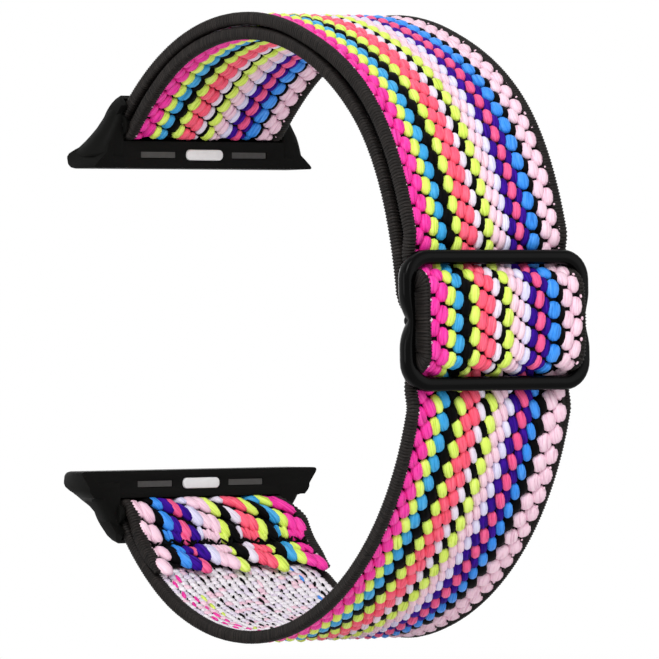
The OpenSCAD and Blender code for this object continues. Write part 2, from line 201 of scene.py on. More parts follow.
# Materials.
class Value:
    """A number that flows through a material's nodes. Arithmetic on it adds the nodes."""

    def __init__(self, shade, socket):
        self.shade = shade
        self.socket = socket

    def math(self, operation, other, swap=False):
        pair = (other, self) if swap else (self, other)
        return self.shade.node("ShaderNodeMath", {"operation": operation}, {0: pair[0], 1: pair[1]})

    def __add__(self, other):
        return self.math("ADD", other)

    def __sub__(self, other):
        return self.math("SUBTRACT", other)

    def __rsub__(self, other):
        return self.math("SUBTRACT", other, swap=True)

    def __mul__(self, other):
        return self.math("MULTIPLY", other)

    __radd__ = __add__
    __rmul__ = __mul__


class Shade:
    """A material under construction, with one Principled shader."""

    def __init__(self, name):
        self.material = bpy.data.materials.new(name)
        self.material.use_nodes = True
        self.tree = self.material.node_tree
        self.shader = self.tree.nodes["Principled BSDF"]

    def node(self, kind, settings=(), sockets=(), output=0):
        made = self.tree.nodes.new(kind)
        for key, value in dict(settings).items():
            setattr(made, key, value)
        for key, value in dict(sockets).items():
            self.feed(made.inputs[key], value)
        return Value(self, made.outputs[output])

    def feed(self, socket, value):
        if isinstance(value, Value):
            self.tree.links.new(value.socket, socket)
        else:
            socket.default_value = value

    def set(self, **values):
        """Feeds the shader's sockets, such as Base_Color or Roughness."""
        for key, value in values.items():
            self.feed(self.shader.inputs[key.replace("_", " ")], value)

    def mixed(self, a, b, factor):
        """A colour between a and b."""
        sockets = {0: factor, 6: a, 7: b}
        return self.node("ShaderNodeMix", {"data_type": "RGBA"}, sockets, output=2)

    def place(self, scale, own=None):
        """Where a point lies, scaled: on the piece's own map, or in the object's metres."""
        if own:
            at = self.node("ShaderNodeUVMap", {"uv_map": own})
        else:
            at = self.node("ShaderNodeTexCoord", output=3)
        return self.node("ShaderNodeMapping", sockets={"Vector": at, "Scale": scale})

    def noise(self, at, detail=2.0, roughness=0.5):
        """A noise whose scale is that of the place it is read at."""
        sockets = {"Vector": at, "Scale": 1.0, "Detail": detail, "Roughness": roughness}
        return self.node("ShaderNodeTexNoise", sockets=sockets)

    def filaments(self, scale):
        """Fine lines on a cord's own map."""
        return self.noise(self.place(scale, own="cord"), roughness=0.6)

    def bump(self, height, depth, strength):
        """Raises the surface by up to depth, in millimetres."""
        sockets = {"Height": height, "Strength": strength, "Distance": depth * MM}
        self.set(Normal=self.node("ShaderNodeBump", sockets=sockets))


def colour(code):
    """A colour written as six hexadecimal digits, made linear."""
    channels = [int(code[i:i + 2], 16) / 255 for i in (0, 2, 4)]
    linear = [c / 12.92 if c <= 0.04045 else ((c + 0.055) / 1.055) ** 2.4 for c in channels]
    return (*linear, 1.0)


# The filaments' scale across and along a cord, the noise below which a yarn darkens with painted shade
# and above which it turns pale with painted highlights, and how fast. Above BRIGHT a main colour counts as
# bright.
YARN_LINES = (7.0, 0.9, 1)
THREAD_LINES = (1.2, 9.0, 1)
SHADE_BELOW = 0.47
SHADE_GAIN = 3.6
SHEEN_ABOVE = 0.42
THREAD_SHEEN_ABOVE = 0.4
SHEEN_GAIN = 2.4
BRIGHT = 0.4


def yarn(name, low, main, high):
    """Nylon filaments that run along each cord. Painted shade darkens the yarn between them, and painted
    highlights pale it on some, as strongly as each shape's tone says. The dark yarns shine less."""
    shade = Shade(name)
    lines = shade.filaments(YARN_LINES)
    sheen_tone = shade.node("ShaderNodeAttribute", {"attribute_name": "sheen_tone"}, output=2)
    # The pale colour is a painted highlight along the filaments, scaled by the shape's tone; the dark colour
    # below is painted shade between them.
    pale = shade.mixed(colour(main), colour(high), (lines - SHEEN_ABOVE) * SHEEN_GAIN * sheen_tone)
    shade.set(Base_Color=shade.mixed(pale, colour(low), (SHADE_BELOW - lines) * SHADE_GAIN))
    bright = max(colour(main)[:3]) > BRIGHT
    shade.set(Roughness=0.6 - 0.2 * lines, Specular_IOR_Level=0.35 if bright else 0.03)
    shade.bump(lines, depth=0.1, strength=0.8)
    return shade.material


# Each yarn's colour of painted shade, its main colour, and its colour of painted highlight.
YARNS = {
    "magenta": ("8A0A52", "EE1F9C", "FF62C0"),
    "lime": ("93AC22", "D8F25A", "F0FF9C"),
    "azure": ("0D5C88", "2399D8", "66C4F0"),
    "blue": ("0E4FA0", "2288EA", "6CB6FF"),
    "black": ("020202", "050506", "101012"),
    "coral": ("B3263E", "FB5272", "FF8A9C"),
    "lilac": ("A79AAE", "E4DAEC", "FBF6FF"),
    "pink": ("C58DA6", "F2CBDC", "FFE9F1"),
    "lavender": ("A5A2C8", "DAD8F4", "F4F3FF"),
    "purple": ("0E0330", "2E1080", "5B22C0"),
    "rose": ("9E2454", "EE4C86", "FF86AE"),
    "white": ("B9B2BE", "EFEAF1", "FFFFFF"),
}

# The columns of cords from the band's near edge: each one's colour, its share of the width, and its
# step in rows, down above the slider and up below it.
COLUMNS = (
    ("magenta", 84, -0.54), ("magenta", 81, -0.16), ("lime", 70, 0.0), ("azure", 80, 0.22),
    ("black", 83, 0.55), ("lime", 67, 0.9), ("coral", 78, 1.16), ("coral", 75, 1.4),
    ("lilac", 52, 1.62), ("black", 38, 1.83), ("lime", 77, 2.03), ("pink", 58, 2.37),
    ("pink", 54, 2.61), ("lavender", 57, 2.82), ("purple", 74, 3.0), ("rose", 64, 3.22),
    ("purple", 58, 3.46), ("blue", 92, 3.7), ("black", 42, 3.9), ("pink", 84, 4.12), ("pink", 83, 4.5))
ROW = 2.2

# Below the slider the last columns have other shares and reach over the far edge, by LOW_MORE.
LOW_SHARES = {17: 62, 18: 80, 19: 104, 20: 104}
LOW_MORE = 0.6
LOW_COLUMNS = [(name, LOW_SHARES.get(i, share), step) for i, (name, share, step) in enumerate(COLUMNS)]

# One column of cords, with its middle and half its width.
Column = namedtuple("Column", "name middle half step")


def spread(columns, reach=0.0):
    """Places the columns side by side over the web's width and a reach beyond it."""
    total = sum(share for _, share, _ in columns)
    left = -HALF_WEB
    placed = []
    for name, share, step in columns:
        width = (2 * HALF_WEB + reach) * share / total
        placed.append(Column(name, left + width / 2, width / 2, step))
        left += width
    return placed


def edge_yarn():
    """The fine black thread that is wound over the band's edges. Its pale streaks are painted highlights."""
    shade = Shade("edge thread")
    lines = shade.filaments(THREAD_LINES)
    # The pale colour is a painted highlight along the thread's filaments.
    pale = (lines - THREAD_SHEEN_ABOVE) * SHEEN_GAIN
    shade.set(Base_Color=shade.mixed(colour("070606"), colour("38322F"), pale))
    shade.set(Roughness=0.55, Specular_IOR_Level=0.14)
    shade.bump(lines, depth=0.03, strength=0.5)
    return shade.material


def coat(name, scale, low, high, roughness, vary, clouds=None, detail=2.0, bump=None, **sockets):
    """A plain surface. Its roughness varies with a grain, and its colour with that or with clouds."""
    shade = Shade(name)
    grain = shade.noise(shade.place(scale), detail=detail)
    cloud = shade.noise(shade.place(clouds)) if clouds else grain
    shade.set(Base_Color=shade.mixed(colour(low), colour(high), cloud), **sockets)
    shade.set(Roughness=roughness + vary * grain)
    if bump:
        shade.bump(grain, *bump)
    return shade.material


def plain_coats():
    """The ground under the cords, the connectors' satin coat, the slider's enamel with its faint waves,
    the latch pills' pale satin, the matt pads and the ground steel."""
    return {
        "ground": coat("dark ground", (900, 900, 900), "040404", "0C0B0C", 0.9, 0.0,
                       bump=(0.04, 0.4), Specular_IOR_Level=0.1),
        "satin": coat("satin black", (2600, 2600, 2600), "0C0C0B", "121211", 0.42, 0.14,
                      clouds=(90, 90, 90), bump=(0.006, 0.35), Specular_IOR_Level=0.03),
        "gloss": coat("gloss black", (220, 220, 220), "020202", "050505", 0.16, 0.08,
                      detail=1.0, bump=(0.01, 0.2), Specular_IOR_Level=0.06),
        "latch": coat("pale latch", (1800, 1800, 1800), "CFCFCF", "DDDDDD", 0.4, 0.12),
        "pad": coat("pad grey", (2000, 2000, 2000), "302F2D", "3B3A38", 0.75, -0.1, bump=(0.008, 0.3)),
        "steel": coat("ground steel", (4000, 200, 200), "3C3C3C", "5C5D5E", 0.34, 0.12, Metallic=1.0),
    }


# The band's own line, from the end of the tail to the sewn end inside the slider.
def settle(angle, bar_angle):
    """From 0 at a connector's bar to 1 where the layer is on the loop again."""
    return smooth(abs(angle - bar_angle) / deg(SETTLE))


def close_up(angle, bar_angle):
    """From 0 at a connector's bar to 1 where two layers have closed up beside it."""
    return smooth(abs(angle - bar_angle) / deg(CLOSE))


def bulge(angle):
    """The outer layer rises over the slider's middle bar and is pressed in under its two end bars."""
    at = math.radians(abs(angle)) * LOOP_R
    pressed = mix(BULGE_H, -PRESS_H, smooth((at - TOP_HALF) / (PRESS_FROM - TOP_HALF)))
    return mix(pressed, 0, smooth((at - PRESS_TO) / (PRESS_END - PRESS_TO)))


# Above the slider the outer layer lies off the inner one.
SAG = 0.75
SAG_AT = 137.0
SAG_HALF = 28.0

# The angles up to which the upper connector's bar shapes the layers, and from which the lower one's does.
UPPER_OUTER_END = 109
UPPER_INNER_END = 120
LOWER_START = 240


def outer_r(angle):
    if angle <= UPPER_OUTER_END:
        return mix(UPPER_BAR_R + FOLD_MID, OUTER_MID, settle(angle, UPPER_ANGLE))
    if angle < LOWER_START:
        return OUTER_MID + bulge(angle - SLIDER_ANGLE) + SAG * smooth(1 - abs(angle - SAG_AT) / SAG_HALF)
    return mix(LOWER_BAR_R + FOLD_MID, OUTER_MID, settle(angle, LOWER_ANGLE))


def inner_r(angle):
    if angle <= UPPER_INNER_END:
        return mix(UPPER_BAR_R - FOLD_MID, INNER_MID, settle(angle, UPPER_ANGLE))
    return mix(INNER_MID, DIP_MID, smooth((angle - SLIDER_ANGLE + DIP_FROM) / DIP_OVER))


def tail_r(angle):
    return outer_r(angle) - mix(2 * FOLD_MID, BAND_T + LAYER_FIT, close_up(angle, LOWER_ANGLE))


class Line:
    """A line in the loop's plane, measured along its length, with its coloured side on the left."""

    # How far apart its even points are, and the least length that is divided by.
    step = 0.08
    least = 1e-9

    def __init__(self):
        self.points = []
        self.halves = []
        self.marks = {}

    def add(self, point, half):
        self.points.append(Vector(point))
        self.halves.append(half)

    def mark(self, name):
        self.marks[name] = len(self.points) - 1

    def arc(self, radius, a, b, half, centre=(0, 0), step=0.5):
        """Adds an arc from angle a to b, on which radius and half may be functions of the angle."""
        count = max(2, round(abs(b - a) / step))
        for i in range(count + 1):
            angle = mix(a, b, i / count)
            r = radius(angle) if callable(radius) else radius
            self.add(Vector(centre) + polar(r, angle), half(angle) if callable(half) else half)

    def measure(self):
        """Spaces the points evenly, and turns each mark into a length along the line."""
        lengths = [0.0]
        for a, b in zip(self.points, self.points[1:]):
            lengths.append(lengths[-1] + (b - a).length)
        self.marks = {name: lengths[i] for name, i in self.marks.items()}
        self.length = lengths[-1]
        self.even = []
        k = 0
        for i in range(int(self.length / self.step) + 1):
            s = i * self.step
            while k < len(lengths) - 2 and lengths[k + 1] < s:
                k += 1
            u = (s - lengths[k]) / max(self.least, lengths[k + 1] - lengths[k])
            half = mix(self.halves[k], self.halves[k + 1], u)
            self.even.append((self.points[k].lerp(self.points[k + 1], u), half))

    def at(self, s, h):
        """The point that lies s along the line and h to its coloured side."""
        f = s / self.step
        i = int(min(max(f, 1), len(self.even) - 3))
        u = f - i
        (p, a), (q, b) = self.even[i], self.even[i + 1]
        before = (q - self.even[i - 1][0]).normalized()
        after = (self.even[i + 2][0] - p).normalized()
        along = before.lerp(after, clamp(u)).normalized()
        lift = h * mix(a, b, clamp(u)) / HALF_T
        at = p.lerp(q, u)
        return at + lift * Vector((-along.y, along.x))


# Folds are drawn in steps of FOLD_STEP, and the layers start a gap away from them, all in degrees.
FOLD_STEP = 6
FOLD_GAP = 1
WRAP_GAP = 0.6


def fold_half(bar_angle):
    """Half the band's thickness beside a bar, as a function of the angle."""
    return lambda angle: mix(FOLD_T / 2, HALF_T, close_up(angle, bar_angle))


def wrap_r(start, end, length):
    """The radius from start at the slider's middle to end a length away from it."""
    return lambda angle: mix(start, end, smooth((SLIDER_ANGLE - angle) / deg(length)))


def band_line():
    """The whole band: tail, lower fold, outer layer, upper fold, inner layer and wrap, with its marks."""
    line = Line()
    lower, upper = polar(LOWER_BAR_R, LOWER_ANGLE), polar(UPPER_BAR_R, UPPER_ANGLE)
    low_half, high_half = fold_half(LOWER_ANGLE), fold_half(UPPER_ANGLE)
    low_stub, high_stub = LOWER_ANGLE - deg(STUB), UPPER_ANGLE + deg(STUB)
    wrap_from, wrap_to = SLIDER_ANGLE - deg(WRAP_START), SLIDER_ANGLE - WRAP_GAP
    line.arc(tail_r, LOWER_ANGLE - deg(TAIL), LOWER_ANGLE - FOLD_GAP, low_half)
    line.arc(FOLD_MID, LOWER_ANGLE - 180, LOWER_ANGLE - 270, FOLD_T / 2, lower, step=FOLD_STEP)
    line.mark("lower fold")
    line.arc(FOLD_MID, LOWER_ANGLE - 270 - FOLD_STEP, LOWER_ANGLE - 360, FOLD_T / 2, lower, step=FOLD_STEP)
    line.arc(outer_r, LOWER_ANGLE - FOLD_GAP, low_stub, low_half)
    line.mark("lower stub")
    line.arc(outer_r, low_stub, SLIDER_ANGLE, HALF_T)
    line.mark("slider")
    line.arc(outer_r, SLIDER_ANGLE, high_stub, HALF_T)
    line.mark("upper stub")
    line.arc(outer_r, high_stub, UPPER_ANGLE + FOLD_GAP, high_half)
    line.arc(FOLD_MID, UPPER_ANGLE, UPPER_ANGLE - 180, FOLD_T / 2, upper, step=FOLD_STEP)
    line.arc(inner_r, UPPER_ANGLE + FOLD_GAP, high_stub, high_half)
    line.mark("inner stub")
    line.arc(inner_r, high_stub, wrap_from, HALF_T)
    line.mark("wrap")
    middle, turn = polar(MID_BAR_R, SLIDER_ANGLE), SLIDER_ANGLE - 180
    down = wrap_r(MID_BAR_R - WRAP_MID, DIP_MID, WRAP_START)
    back = wrap_r(MID_BAR_R + WRAP_MID, TAB_MID, WRAP_BEND)
    line.arc(down, wrap_from, wrap_to, WRAP_T / 2)
    line.arc(WRAP_MID, turn, turn - 180, WRAP_T / 2, middle, step=FOLD_STEP)
    line.arc(back, wrap_to, SLIDER_ANGLE - deg(WRAP_END), WRAP_T / 2)
    line.measure()
    return line


LINE = band_line()
MARKS = LINE.marks

# The flare beside the lower fold. The tail reaches it over FLARE_TAIL. The layer behind starts to widen
# at FLARE_FROM and to narrow again at NARROW_FROM, as lengths along the band from the fold.
FLARE = 2.7
FLARE_TAIL = 4
FLARE_FROM = 6
FLARE_OVER = 6
NARROW_FROM = 14
NARROW_OVER = 26
WIDER = 0.45
WIDER_HALF = 8


def flare(along):
    """How much wider the band lies beside the lower connector, where nothing holds it in."""
    past = along - MARKS["lower fold"]
    if past < 0:
        return FLARE * smooth(-past / FLARE_TAIL)
    wide = smooth((past - FLARE_FROM) / FLARE_OVER)
    return FLARE * wide * (1 - smooth((past - NARROW_FROM) / NARROW_OVER))


def widened(across, along):
    """Inside the slider the web lies wider, and its edges roll under it."""
    more = WIDER * smooth(1 - abs(along - MARKS["slider"]) / WIDER_HALF)
    web = min(abs(across), HALF_WEB)
    edge = abs(across) - web
    return math.copysign(web * (1 + more / HALF_WEB) + edge * (1 - more / EDGE_W), across)


# Small shapes that repeat, each made once. Each carries a map of its own for the lines of its yarn, at
# this scale, slanted with height, and shifted at random by up to MAP_SHIFT.
MAP_SCALE = 0.5
MAP_SLANT = 0.3
MAP_SHIFT = 50


def small_shape(name, u_segments, v_segments, square, belly=1.0):
    """A plump round form of one unit's radius, its length along Y. Square makes its sides fuller, and
    belly is how deep its underside is."""
    bm = bmesh.new()
    bmesh.ops.create_uvsphere(bm, u_segments=u_segments, v_segments=v_segments, radius=1.0)
    bmesh.ops.rotate(bm, verts=bm.verts, matrix=Matrix.Rotation(math.radians(-90), 3, "X"))
    own = bm.loops.layers.uv.new("cord")
    for face in bm.faces:
        face.smooth = True
        for corner in face.loops:
            at = corner.vert.co
            corner[own].uv = (MAP_SCALE * at.x + MAP_SLANT * at.z, MAP_SCALE * at.y)
    for vert in bm.verts:
        vert.co = Vector([math.copysign(abs(c) ** square, c) for c in vert.co])
        vert.co.z *= belly if vert.co.z < 0 else 1
    mesh = bpy.data.meshes.new(name)
    bm.to_mesh(mesh)
    bm.free()
    return mesh


CORD = small_shape("cord", 10, 6, 0.85, belly=0.5)
RIB = small_shape("rib", 10, 4, 0.6)
KNOT = small_shape("knot", 6, 4, 1.0)

# How far apart a slab's cuts are, and how strong a shape's painted highlights may be, at random.
SLAB_STEP = 0.5
SHEEN_TONES = (0.3, 1.0)


class Strip:
    """A piece of the webbing that is modelled flat, row by row, and then laid along the line."""

    def __init__(self, name):
        self.name = name
        self.bm = bmesh.new()
        self.row = bmesh.new()
        self.materials = []

    def slot(self, material):
        """The number of a material on this piece."""
        if material not in self.materials:
            self.materials.append(material)
        return self.materials.index(material)

    def put(self, shape, at, size, material, lean=0.0, sheen_tone=None, tilt=0.0):
        """Sets a small shape at (across, along, height). It leans sideways and tilts along the band by
        angles, and its tone says how strong the painted highlights on its yarn are."""
        first_vert, first_face = len(self.row.verts), len(self.row.faces)
        self.row.from_mesh(shape)
        self.row.verts.ensure_lookup_table()
        self.row.faces.ensure_lookup_table()
        toned = self.row.verts.layers.float.get("sheen_tone") or self.row.verts.layers.float.new("sheen_tone")
        mapped = self.row.loops.layers.uv["cord"]
        # The tone, random unless given, scales the painted highlights on this shape's yarn.
        shade = dice.uniform(*SHEEN_TONES) if sheen_tone is None else sheen_tone
        shift = Vector((dice.uniform(0, MAP_SHIFT), dice.uniform(0, MAP_SHIFT)))
        turn = Matrix.Rotation(math.radians(-lean), 4, "Z") @ Matrix.Rotation(math.radians(tilt), 4, "X")
        place = Matrix.Translation(at) @ turn @ Matrix.Diagonal((*size, 1))
        for vert in self.row.verts[first_vert:]:
            vert.co = place @ vert.co
            vert[toned] = shade
        index = self.slot(material)
        for face in self.row.faces[first_face:]:
            face.material_index = index
            for corner in face.loops:
                corner[mapped].uv += shift

    def end_row(self):
        """Moves the row's shapes into the piece."""
        mesh = bpy.data.meshes.new("row")
        self.row.to_mesh(mesh)
        self.bm.from_mesh(mesh)
        bpy.data.meshes.remove(mesh)
        self.row.clear()

    def slab(self, x0, x1, s0, s1, h0, h1, material):
        """A flat slab of ground under the cords, cut across so that it can bend."""
        made = bmesh.ops.create_cube(self.bm, size=1.0)
        scale = Vector((x1 - x0, s1 - s0, h1 - h0))
        middle = Vector(((x0 + x1) / 2, (s0 + s1) / 2, (h0 + h1) / 2))
        bmesh.ops.scale(self.bm, vec=scale, verts=made["verts"])
        bmesh.ops.translate(self.bm, vec=middle, verts=made["verts"])
        faces = {face for vert in made["verts"] for face in vert.link_faces}
        edges = {edge for face in faces for edge in face.edges}
        long_edges = [e for e in edges if abs(e.verts[0].co.y - e.verts[1].co.y) > (s1 - s0) / 2]
        cuts = max(1, round((s1 - s0) / SLAB_STEP))
        index = self.slot(material)
        for face in faces:
            face.material_index = index
        bmesh.ops.subdivide_edges(self.bm, edges=long_edges, cuts=cuts, use_grid_fill=True)

    def lay(self):
        """Bends the flat piece along the line and makes its object."""
        for vert in self.bm.verts:
            at = LINE.at(vert.co.y, vert.co.z)
            across = widened(vert.co.x, vert.co.y) + flare(vert.co.y) * (0.5 + vert.co.x / BAND_W)
            vert.co = CENTRE + Vector((across, at.x, at.y)) * MM
        self.row.free()
        return finish_mesh(self.bm, self.name, self.materials)


def finish_mesh(bm, name, materials, smooth_faces=False):
    """Makes an object of the mesh, and may set all its faces smooth."""
    if smooth_faces:
        for face in bm.faces:
            face.smooth = True
    mesh = bpy.data.meshes.new(name)
    bm.to_mesh(mesh)
    bm.free()
    for material in materials:
        mesh.materials.append(material)
    return add_object(name, mesh)


# The woven face. A cord is wider than its column, by CORD_FILL, and a narrow column counts as if it
# were LEAST_HALF on each side. Black and purple cords lie deeper, and some colours stand prouder.
CORD_FILL = 1.4
CORD_HALF_H = 0.64
LEAST_HALF = 0.34
CORD_VARY = (0.96, 1.04)
DEPTHS = {"black": 0.12, "purple": 0.13, "rose": -0.05, "blue": -0.04, "azure": 0.04, "lime": -0.04}

# How cords lie in their columns. A row is the distance between two, and shift moves them all. From
# column to column they are stepped down where fall is 1, and up where it is -1.
Weave = namedtuple("Weave", "columns row shift fall lean half_length")
FACE = Weave(spread(COLUMNS), row=ROW, shift=0.0, fall=1, lean=9.0, half_length=0.98)
LOW_FACE = Weave(
    spread(LOW_COLUMNS, LOW_MORE), row=2.3, shift=-0.9, fall=-1, lean=-24.0, half_length=1.0584)

# The rows turn round under the slider's lower bar.
TURN = MARKS["slider"] - WINDOW_HALF_H - END_BAR / 2


def jitter(amount):
    """A random stray either way, of a place in millimetres or of an angle in degrees."""
    return dice.uniform(-amount, amount)


def woven_face(strip, s0, s1, paint):
    """Plump cords between s0 and s1, on both sides of the turn."""
    woven_rows(strip, s0, min(s1, TURN), paint, LOW_FACE)
    woven_rows(strip, max(s0, TURN), s1, paint, FACE)


def woven_rows(strip, s0, s1, paint, weave):
    """The cords of one weave between s0 and s1."""
    deepest = max(column.step for column in weave.columns)
    for row in range(int(s0 / weave.row - deepest) - 1, int(s1 / weave.row + deepest) + 2):
        for column in weave.columns:
            along = (row - weave.fall * column.step) * weave.row + weave.shift
            if not s0 <= along < s1:
                continue
            lift = jitter(0.03) - DEPTHS.get(column.name, 0)
            at = Vector((column.middle + jitter(0.03), along + jitter(0.05), lift))
            half_w = CORD_FILL * max(column.half, LEAST_HALF)
            size = Vector((half_w, weave.half_length, CORD_HALF_H)) * dice.uniform(*CORD_VARY)
            strip.put(CORD, at, size, paint[column.name], weave.lean + jitter(3), tilt=jitter(3))
        strip.end_row()


# The small knots: their side of the band and step in rows, how many rows past the end they may lie,
# their height, their share, half their width, their length against it, and how strong their painted
# highlights are.
KNOT_STEPS = ((-1, -0.9), (1, 4.0))
KNOT_ROWS_PAST = 7
KNOT_H = 0.44
KNOT_SHARE = 0.85
KNOT_HALF_W = (0.1, 0.17)
KNOT_LENGTH = 1.3
FULL_SHEEN_TONE = 0.9


def knots(strip, s0, s1, paint):
    """The small pale knots where the edges catch the first and last columns."""
    for row in range(int(s0 / ROW) - 1, int(s1 / ROW) + KNOT_ROWS_PAST):
        for side, step in KNOT_STEPS:
            along = (row - step) * ROW + jitter(0.2)
            if s0 <= along < s1 and dice.random() < KNOT_SHARE:
                size = dice.uniform(*KNOT_HALF_W)
                at = (side * (HALF_WEB + jitter(0.06)), along, KNOT_H)
                strip.put(KNOT, at, (size, KNOT_LENGTH * size, size), paint["pink"], sheen_tone=FULL_SHEEN_TONE)
        strip.end_row()


# The pale back of the webbing: flat pads, and over them a dash beside every third one. The columns
# numbered here float a dash of their own colour, and the others a black one.
BACK_PITCH = 3
BACK_ROW = ROW / BACK_PITCH
BACK_H = -0.44
BACK_TINTS = ("white", "white", "white", "lilac", "pink")
BACK_DASHES = {0: "magenta", 1: "magenta", 2: "lime", 17: "blue", 11: "pink"}
PAD_SIZE = (0.5, 0.5, 0.17)
PAD_LEAN = (-40, 10)
DASH_H = -0.56
DASH_SIZE = Vector((0.21, 0.78, 0.14))
FLECK_SIZE = Vector((0.11, 0.36, 0.1))
DASH_BESIDE = 0.42
DASH_AHEAD = 0.3
DASH_LEAN = -12
DASH_SHARE = 0.7
DASH_VARY = (0.8, 1.15)


def pale_back(strip, s0, s1, paint):
    """The back: small irregular pale pads, with the dashes where other yarns come through."""
    for row in range(int(s0 / BACK_ROW), int(s1 / BACK_ROW) + 1):
        for column, (name, _, step) in enumerate(COLUMNS):
            along = (row + 0.5 * (column % 2)) * BACK_ROW
            if not s0 <= along < s1:
                continue
            across = -HALF_WEB + (column + 0.5) * 2 * HALF_WEB / len(COLUMNS)
            at = (across + jitter(0.08), along + jitter(0.06), BACK_H + jitter(0.05))
            tint = paint[dice.choice(BACK_TINTS)]
            strip.put(KNOT, at, PAD_SIZE, tint, dice.uniform(*PAD_LEAN), tilt=jitter(6))
            if (row + round(BACK_PITCH * step)) % BACK_PITCH:
                continue
            large = name == "black"
            dash = "black" if large else BACK_DASHES.get(column, "black")
            size = DASH_SIZE if large or dash != "black" else FLECK_SIZE
            at = (across + DASH_BESIDE + jitter(0.06), along + DASH_AHEAD + jitter(0.12), DASH_H)
            if large or dice.random() < DASH_SHARE:
                grown = size * dice.uniform(*DASH_VARY)
                # A dash takes the same strong painted highlight as the knots.
                strip.put(KNOT, at, grown, paint[dash], DASH_LEAN + jitter(14), FULL_SHEEN_TONE)
        strip.end_row()


# The ribbed edges. From RIB_MARGIN beyond the slider's window the ribs reach deeper, and over
# RIB_DEEPENS they gain RIB_DEEPER.
RIB_PITCH = 0.34
RIB_HALF_L = 0.225
RIB_OVER = 0.12
RIB_PROUD = 0.1
RIB_IN = 0.1
RIB_DEEPER = 0.9
RIB_DEEPENS = 1.5
RIB_MARGIN = 1.0
RIB_THINNEST = 0.35
RIB_LEAN = 2
RIBS_IN_ROW = 20


def ribbed_edges(strip, s0, s1, thread, taper=0.0):
    """Fine thread wound over both edges, with a rib for each turn. It may thin out towards s0. Below
    the slider the far ribs are narrower, as the last columns reach over them."""
    ribs = max(1, round((s1 - s0) / RIB_PITCH))
    for i in range(ribs):
        along = s0 + (i + 0.5) * (s1 - s0) / ribs
        inside = WINDOW_HALF_H + RIB_MARGIN - abs(along - MARKS["slider"])
        deep = RIB_DEEPER * smooth(inside / RIB_DEEPENS)
        full = smooth((along - s0) / taper) if taper else 1.0
        for side in (-1, 1):
            thin = LOW_MORE / 2 if side > 0 and MARKS["lower fold"] < along < TURN else 0.0
            across = side * (HALF_WEB + EDGE_W / 2 - RIB_IN + thin)
            half_h = HALF_T + RIB_PROUD + deep + jitter(0.01)
            half_h *= RIB_THINNEST + (1 - RIB_THINNEST) * full
            size = (EDGE_W / 2 + RIB_OVER - thin, RIB_HALF_L, half_h)
            strip.put(RIB, (across, along, -deep), size, thread, side * RIB_LEAN + jitter(1))
        if (i + 1) % RIBS_IN_ROW == 0 or i == ribs - 1:
            strip.end_row()


# From where to where in height the ground under the cords lies, and the core of the ribbed edges.
GROUND_H = (-0.42, 0.0)
CORE_HALF_T = 0.4
CORE_INSET = 0.25


def edge_strip(name, core_from, ribs_from, s1, paint, taper=0.0):
    """Both edges of a stretch: a flat core and the ribs round it."""
    edges = Strip(name + "_edges")
    for side in (-1, 1):
        x0, x1 = sorted((side * HALF_WEB, side * (BAND_W / 2 - CORE_INSET)))
        edges.slab(x0, x1, core_from, s1, -CORE_HALF_T, CORE_HALF_T, paint["edge"])
    ribbed_edges(edges, ribs_from, s1, paint["edge"], taper)
    return edges


def webbing(name, s0, s1, paint, back):
    """One stretch of the band: the cords and their ground as one piece, the edges as another."""
    cords = Strip(name + "_cords")
    cords.slab(-HALF_WEB, HALF_WEB, s0, s1, *GROUND_H, paint["ground"])
    woven_face(cords, s0, s1, paint)
    knots(cords, s0, s1, paint)
    if back:
        pale_back(cords, s0, s1, paint)
    edges = edge_strip(name, s0, s0, s1, paint)
    return cords.lay(), edges.lay()


# The angles below and above the slider from which blend_to_slider works out points, and how far from
# the slider's middle they end. No stretch is bent by them.
LOW_BLEND = 300
HIGH_BLEND = 62
BLEND_END = 18


def blend_to_slider(piece, start_angle, radius):
    """Bakes a stretch's place into its mesh; the points towards the slider that it works out go unused."""
    near = SLIDER_ANGLE + math.copysign(BLEND_END, start_angle - SLIDER_ANGLE)
    for angle in (start_angle, near):
        at = polar(radius, angle)
    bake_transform(piece)


def make_band(paint):
    """All of the band but its tail. Each stretch has a name, a start and an end, whether its back is
    seen, the angle and radius handed to blend_to_slider, and the nodes its cords and its edges stand for."""
    parts = (
        ("outer_lower", MARKS["lower stub"], MARKS["slider"], True, LOW_BLEND, OUTER_MID,
         ("outer_lower_run",), ("outer_lower_edges",)),
        ("outer_upper", MARKS["slider"], MARKS["upper stub"], True, HIGH_BLEND, OUTER_MID,
         ("outer_upper_run", "slider_run"), ("outer_upper_edges", "slider_run_edges")),
        ("inner_layer", MARKS["inner stub"], MARKS["wrap"], False, HIGH_BLEND, INNER_MID,
         ("inner_run",), ("inner_run_edges",)),
        ("upper_turn", MARKS["upper stub"], MARKS["inner stub"], False, None, None,
         ("upper_fold",), ("upper_fold_edges",)),
        ("slider_turn", MARKS["wrap"], LINE.length, False, None, None,
         ("slider_wrap",), ("slider_wrap_edges",)))
    for name, s0, s1, back, start, radius, cord_nodes, edge_nodes in parts:
        cords, edges = webbing(name, s0, s1, paint, back)
        for piece, nodes, slot in ((cords, cord_nodes, "band_web"), (edges, edge_nodes, "band_edge")):
            if start is None:
                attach(piece, "slider" if name == "slider_turn" else "band")
            else:
                blend_to_slider(piece, start, radius)
            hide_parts(*nodes)


# The tail that is sewn back beside the lower connector. Its cords are larger, and run in the
# opposite order. Its layers start one after another: edges and knots, cords, ground, and the core.
TAIL_ROW = 2.75
TAIL_STEP = 0.2
TAIL_PHASE = 0.4
TAIL_ROWS = range(-2, 12)
TAIL_COLUMNS = tuple(name for name, _, _ in reversed(COLUMNS))
TAIL_HALF_W = HALF_WEB + 0.25
TAIL_EDGES = 0.5
TAIL_CORDS = 0.9
TAIL_GROUND = 1.6
TAIL_CORE = 2.0
TAIL_TAPER = 2.5
TAIL_LEAN = -14


